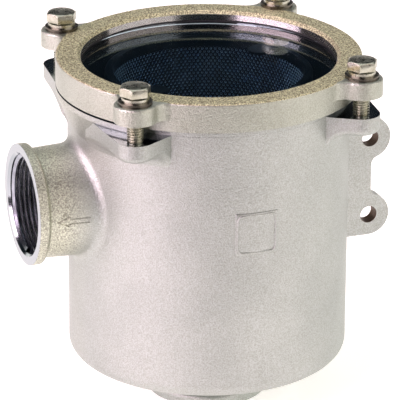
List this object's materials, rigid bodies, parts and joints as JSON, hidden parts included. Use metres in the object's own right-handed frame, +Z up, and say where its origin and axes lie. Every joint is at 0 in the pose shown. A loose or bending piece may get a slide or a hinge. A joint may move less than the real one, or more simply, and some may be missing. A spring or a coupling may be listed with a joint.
{
  "type": "sea water strainer",
  "caption": "Cast sea water strainer: cylindrical housing with a threaded side outlet, bottom inlet, mounting fin, lift-out basket and a clear window under a bolted ring.",
  "frame": {"origin": "middle of the inlet's mouth, in the plane the strainer stands on", "axes": "+Z up through the housing to the window, -X out of the side outlet, +X towards the mounting fin"},
  "size_m": [0.1866, 0.146, 0.1806],
  "materials": {
    "satin_casting": "fine-grained satin casting",
    "polished_fastener": "polished",
    "basket_steel": "satin",
    "clear_window": "clear",
    "black_rubber": "matt"
  },
  "bodies": {
    "root": {"housing": "satin_casting", "cover_ring": "satin_casting", "sight_window": "clear_window", "window_gasket": "black_rubber", "window_seal": "black_rubber", "basket_wall": "basket_steel", "basket_floor": "basket_steel", "basket_rim": "basket_steel", "lifting_tab_1": "basket_steel", "lifting_tab_2": "basket_steel", "cover_bolt_1": "polished_fastener", "spring_washer_1": "polished_fastener", "plain_washer_1": "polished_fastener", "cover_bolt_2": "polished_fastener", "spring_washer_2": "polished_fastener", "plain_washer_2": "polished_fastener", "cover_bolt_3": "polished_fastener", "spring_washer_3": "polished_fastener", "plain_washer_3": "polished_fastener", "cover_bolt_4": "polished_fastener", "spring_washer_4": "polished_fastener", "plain_washer_4": "polished_fastener"}
  },
  "joints": []
}
